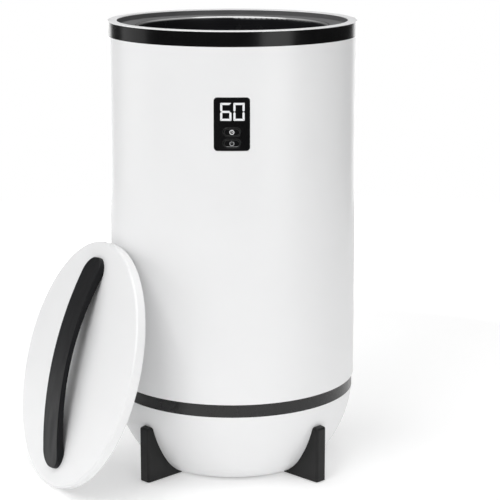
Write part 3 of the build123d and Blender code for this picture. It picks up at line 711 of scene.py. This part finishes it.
def finish_piece(name, form, finish, body, smooth=True):
    """Makes the object, smooths its rounded edges, and lets it ride with a body.

    The front is left as narrow flat strips: smoothed, it would take its shading from the tilted
    faces round its edge, and a long strip would carry that far across the pane.
    """
    bmesh.ops.recalc_face_normals(form, faces=form.faces)
    mesh = bpy.data.meshes.new(name)
    form.to_mesh(mesh)
    form.free()
    mesh.materials.append(finish)
    piece = bpy.data.objects.new(name, mesh)
    bpy.context.scene.collection.objects.link(piece)
    if smooth:
        mesh.shade_smooth()
        mesh.set_sharp_from_angle(angle=SHARP_ANGLE)
        for face in mesh.polygons:
            outward = Vector((face.center.x, face.center.y, 0.0)).normalized()
            face.use_smooth = abs(face.normal.dot(outward)) < FRONT_FACING
    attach(piece, body)
    print(name, len(mesh.vertices), "vertices")
    return piece


print("outline helpers are ready")

# %% [markdown]
# ## The panel's lens and the two buttons
#
# The lens is one curved pane of black plastic, with two pill shaped holes. CAD has it with sharp
# edges. A real pane has its edge broken all round, and that thin rounding is what catches the
# light and separates the pane from the white shell. The same holds for the two buttons. So these
# three CAD pieces are replaced by pieces with a rounded edge, at the same place and size.

# %% Make the lens and the buttons
PANEL_SIZE = (0.041, 0.061)
PANEL_CORNER = 0.0042
BUTTON_SIZE = (0.0198, 0.0094)
BUTTON_DROPS = {"timer": 0.009, "power": 0.022}
RUNNING_GAP = 0.0003
LENS_THICKNESS = 0.0032
LENS_EDGE = 0.0006
BUTTON_EDGE = 0.0005
BUTTON_THICKNESS = 0.0049
FLAT_END = 1e-5


def button_pill(drop, growth=0.0):
    """A button's outline, moved out all round by the growth; each end keeps a tiny flat."""
    width, height = (size + 2 * growth for size in BUTTON_SIZE)
    return pill(width, height, height / 2 - FLAT_END, at=(0.0, -drop))


lens_outlines = [pill(*PANEL_SIZE, PANEL_CORNER)]
lens_outlines += [button_pill(drop, RUNNING_GAP) for drop in BUTTON_DROPS.values()]
lens_form = panel_form("panel_lens", lens_outlines, LENS_THICKNESS, LENS_RADIUS, LENS_EDGE)
panel_lens = finish_piece("panel_lens", lens_form, panel_black, "bucket")
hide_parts("control_lens")

for key, drop in BUTTON_DROPS.items():
    cap_form = panel_form(key + "_cap", [button_pill(drop)], BUTTON_THICKNESS, LENS_RADIUS,
                          BUTTON_EDGE)
    cap = finish_piece(key + "_cap", cap_form, panel_black, key + "_button")
    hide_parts(key + "_button")

# %% [markdown]
# ## The digits
#
# The display shows the minutes with two seven-segment digits. Each segment is an outline of four
# to six points: the bars along the top and the bottom are cut at 45 degrees where they meet the
# uprights, and at half height all bars end in a point. A small gap keeps neighbours apart. They
# are laid on the lens, a hair proud of it, as the light of the display shows through it.

# %% Make the digits
DIGIT_SIZE = (0.0127, 0.0204)
STROKE = 0.0024
SEGMENT_GAP = 0.00018
DIGIT_RISE = 0.0143
DIGIT_AT = {"tens": (-0.0068, "afgedc"), "ones": (0.0081, "abcdef")}
PRINT_RISE = 0.00003
PRINT_RADIUS = LENS_RADIUS + PRINT_RISE
PRINT_THICKNESS = 0.00012


def digit_bars(centre_x, lit):
    """Outlines of the lit bars of one digit."""
    side, top, s, g = DIGIT_SIZE[0] / 2, DIGIT_SIZE[1] / 2, STROKE, SEGMENT_GAP
    level = [(-side + g, top), (side - g, top), (side - s - g, top - s), (-side + s + g, top - s)]
    upright = [(side, top - g), (side, s / 2 + g), (side - s / 2, g), (side - s, s / 2 + g),
               (side - s, top - s - g)]
    middle = [(-side + s / 2 + g, 0.0), (-side + s + g, -s / 2), (side - s - g, -s / 2),
              (side - s / 2 - g, 0.0), (side - s - g, s / 2), (-side + s + g, s / 2)]
    shapes = {"a": level, "b": upright, "g": middle,
              "c": [(x, -z) for x, z in upright], "d": [(x, -z) for x, z in level],
              "e": [(-x, -z) for x, z in upright], "f": [(-x, z) for x, z in upright]}
    return [[(x + centre_x, z + DIGIT_RISE) for x, z in shapes[letter]] for letter in lit]


for key, (centre_x, lit) in DIGIT_AT.items():
    bars = digit_bars(centre_x, lit)
    digit_form = panel_form("digit_" + key, bars, PRINT_THICKNESS, PRINT_RADIUS)
    finish_piece("digit_" + key, digit_form, digit_light, "bucket", smooth=False)

# %% [markdown]
# ## Outlines and icons on the buttons
#
# Each button has a thin printed outline, and an icon: a clock for the timer and the usual ring
# and stroke for power. They ride on their own button, so they sink with it when it is pressed.
# The strokes inside a ring are made apart and then joined to it, because they may touch it.

# %% Make the outlines and icons
OUTLINE_WIDTH = 0.00028
OUTLINE_INSET = 0.0011
OUTLINE_FINISH = {"timer": outline_print, "power": power_outline_painted_highlight}
ICON_FINISH = {"timer": clock_light, "power": power_light}
ICON_RADIUS = 0.00235
ICON_STROKE = 0.0008
HAND_WIDTH = 0.0005
CLOCK_HAND_TIPS = (0.0014, 0.0013)
POWER_RING_ENDS = (125, 415)
POWER_STROKE_ENDS = (0.0002, 0.0030)


def arc_band(radius, width, start, end, at, steps=36):
    """Outline of a band along an arc, in degrees from the right, anticlockwise."""
    outer, inner = [], []
    for step in range(steps + 1):
        angle = math.radians(start + (end - start) * step / steps)
        unit = Vector((math.cos(angle), math.sin(angle)))
        outer.append(tuple(Vector(at) + unit * (radius + width / 2)))
        inner.append(tuple(Vector(at) + unit * (radius - width / 2)))
    return outer + inner[::-1]


def strip(start, end, width):
    """Four points of a straight stroke."""
    a, b = Vector(start), Vector(end)
    along = (b - a).normalized()
    side = Vector((-along.y, along.x)) * width / 2
    return [tuple(p) for p in (a - side, b - side, b + side, a + side)]


def button_marks(key, middle):
    """Outlines of a button's ring, and of the strokes inside it."""
    centre, half = Vector(middle), HAND_WIDTH / 2
    if key == "timer":
        up_tip, right_tip = CLOCK_HAND_TIPS
        ring = [ring_points(ICON_RADIUS + ICON_STROKE / 2, at=middle),
                ring_points(ICON_RADIUS - ICON_STROKE / 2, at=middle)]
        ends = [((0.0, -half), (0.0, up_tip)), ((half, 0.0), (right_tip, 0.0))]
    else:
        low_end, high_end = POWER_STROKE_ENDS
        ring = [arc_band(ICON_RADIUS, ICON_STROKE, *POWER_RING_ENDS, middle)]
        ends = [((0.0, low_end), (0.0, high_end))]
    strokes = [strip(centre + Vector(a), centre + Vector(b), HAND_WIDTH) for a, b in ends]
    return ring, strokes


for key, drop in BUTTON_DROPS.items():
    border = [button_pill(drop, -OUTLINE_INSET), button_pill(drop, -OUTLINE_INSET - OUTLINE_WIDTH)]
    border_form = panel_form(key + "_outline", border, PRINT_THICKNESS, PRINT_RADIUS)
    finish_piece(key + "_outline", border_form, OUTLINE_FINISH[key], key + "_button",
                 smooth=False)

    ring, strokes = button_marks(key, (0.0, -drop))
    icon_form = panel_form(key + "_icon", ring, PRINT_THICKNESS, PRINT_RADIUS)
    for stroke in strokes:
        stroke_form = panel_form(key + "_stroke", [stroke], PRINT_THICKNESS, PRINT_RADIUS)
        stroke_mesh = bpy.data.meshes.new(key + "_stroke")
        stroke_form.to_mesh(stroke_mesh)
        stroke_form.free()
        icon_form.from_mesh(stroke_mesh)
        bpy.data.meshes.remove(stroke_mesh)
    finish_piece(key + "_icon", icon_form, ICON_FINISH[key], key + "_button",
                 smooth=False)
